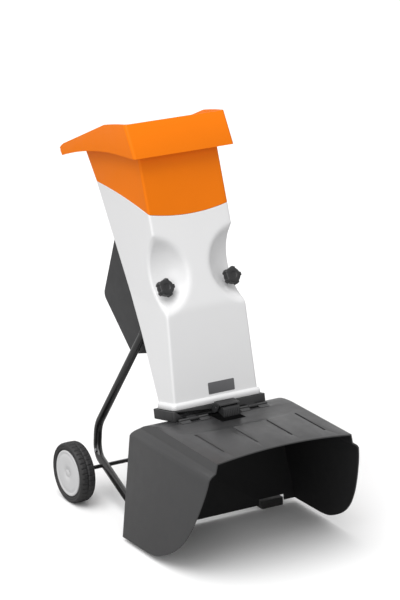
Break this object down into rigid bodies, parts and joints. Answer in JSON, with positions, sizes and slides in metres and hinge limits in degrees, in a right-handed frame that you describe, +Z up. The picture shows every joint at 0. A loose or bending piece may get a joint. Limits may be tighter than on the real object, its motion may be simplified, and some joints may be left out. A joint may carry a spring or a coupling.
{
  "type": "wood chipper",
  "caption": "Electric garden chipper: leaning feed hopper, rear motor driving a blade disc, wide fold-up discharge hood and a two-wheel tube stand.",
  "frame": {"origin": "on the ground below the middle of the machine's overall box", "axes": "+Z up, -Y towards the discharge hood, +X to the right of someone facing the discharge side from behind"},
  "size_m": [0.5936, 0.995, 1.18],
  "materials": {
    "hopper_white": "satin moulded",
    "funnel_orange": "satin moulded",
    "guard_rubber": "matte",
    "plate_grey": "printed film",
    "screw_steel": "zinc plated",
    "screw_zinc": "bright zinc",
    "base_plastic": "fine grain",
    "cover_plastic": "fine grain",
    "motor_aluminium": "die cast",
    "copper": "enamelled copper wire",
    "bearing_steel": "ground",
    "fan_plastic": "plain",
    "blade_steel": "ground",
    "chamber_steel": "sheet",
    "knob_plastic": "grained",
    "neck_plastic": "satin",
    "tube_paint": "gloss black",
    "foot_rubber": "matte",
    "tyre_rubber": "matte",
    "hub_plastic": "plain",
    "cap_plastic": "satin light grey",
    "hood_plastic": "fine grain",
    "switch_plastic": "satin",
    "button_green": "plain",
    "button_red": "plain",
    "pin_brass": "bright"
  },
  "bodies": {
    "base": {"back_plate": "base_plastic", "motor_cover": "cover_plastic", "motor_housing": "motor_aluminium", "motor_windings": "copper", "front_bearing": "bearing_steel", "rear_bearing": "bearing_steel", "bearing_seat_ring": "motor_aluminium", "cutting_chamber": "chamber_steel", "counter_blade": "blade_steel", "clamp_posts": "base_plastic", "neck": "neck_plastic", "left_leg": "tube_paint", "right_leg": "tube_paint", "leg_brackets": "base_plastic", "wheel_axle": "tube_paint", "axle_clips": "screw_steel", "leg_screws": "screw_zinc", "left_foot": "foot_rubber", "right_foot": "foot_rubber", "hood_hinge_pins": "screw_steel", "latch_bracket": "neck_plastic", "latch_pin": "screw_steel", "switch_box": "switch_plastic", "power_inlet": "switch_plastic", "inlet_pins": "pin_brass", "cover_screws": "screw_steel"},
    "hopper": {"lower_hopper": "hopper_white", "funnel": "funnel_orange", "splash_guard": "guard_rubber", "label_plate": "plate_grey", "funnel_screws": "screw_steel"},
    "rotor": {"rotor_shaft": "bearing_steel", "cooling_fan": "fan_plastic", "blade_disc": "blade_steel", "cutter_blades": "blade_steel", "disc_bolt": "screw_steel"},
    "left_clamp": {"left_knob": "knob_plastic", "left_knob_bolt": "screw_steel"},
    "right_clamp": {"right_knob": "knob_plastic", "right_knob_bolt": "screw_steel"},
    "left_wheel": {"left_tyre": "tyre_rubber", "left_wheel_hub": "hub_plastic", "left_hub_cap": "cap_plastic"},
    "right_wheel": {"right_tyre": "tyre_rubber", "right_wheel_hub": "hub_plastic", "right_hub_cap": "cap_plastic"},
    "hood": {"discharge_hood": "hood_plastic"},
    "latch": {"hood_latch": "knob_plastic"},
    "start": {"start_button": "button_green"},
    "stop": {"stop_button": "button_red"}
  },
  "joints": [
    {"name": "hopper_lift_off", "type": "slide", "parent": "base", "child": "hopper", "axis": [0, -0.829, 0.5592], "range_m": [0, 0.1]},
    {"name": "left_knob_turn", "type": "hinge", "parent": "hopper", "child": "left_clamp", "pos_m": [-0.112, -0.03094, 0.72089], "axis": [0, 0.829, -0.5592], "continuous": true},
    {"name": "right_knob_turn", "type": "hinge", "parent": "hopper", "child": "right_clamp", "pos_m": [0.112, -0.03094, 0.72089], "axis": [0, 0.829, -0.5592], "continuous": true},
    {"name": "rotor_spin", "type": "hinge", "parent": "base", "child": "rotor", "pos_m": [0, 0.11694, 0.62718], "axis": [0, 0.829, -0.5592], "continuous": true},
    {"name": "left_wheel_roll", "type": "hinge", "parent": "base", "child": "left_wheel", "pos_m": [-0.269, 0.245, 0.092], "axis": [1, 0, 0], "continuous": true},
    {"name": "right_wheel_roll", "type": "hinge", "parent": "base", "child": "right_wheel", "pos_m": [0.269, 0.245, 0.092], "axis": [1, 0, 0], "continuous": true},
    {"name": "hood_fold", "type": "hinge", "parent": "base", "child": "hood", "pos_m": [0, -0.165, 0.362], "axis": [-1, 0, 0], "range_deg": [0, 40]},
    {"name": "hood_latch_press", "type": "hinge", "parent": "base", "child": "latch", "pos_m": [0, -0.178, 0.387], "axis": [1, 0, 0], "range_deg": [0, 10], "stiffness_Nm_per_rad": 0.6, "springref_deg": -8.59},
    {"name": "start_press", "type": "slide", "parent": "base", "child": "start", "axis": [0, -0.942, -0.3357], "range_m": [0, 0.003], "stiffness_N_per_m": 600, "springref_m": -0.002},
    {"name": "stop_press", "type": "slide", "parent": "base", "child": "stop", "axis": [0, -0.942, -0.3357], "range_m": [0, 0.003], "stiffness_N_per_m": 600, "springref_m": -0.002}
  ]
}
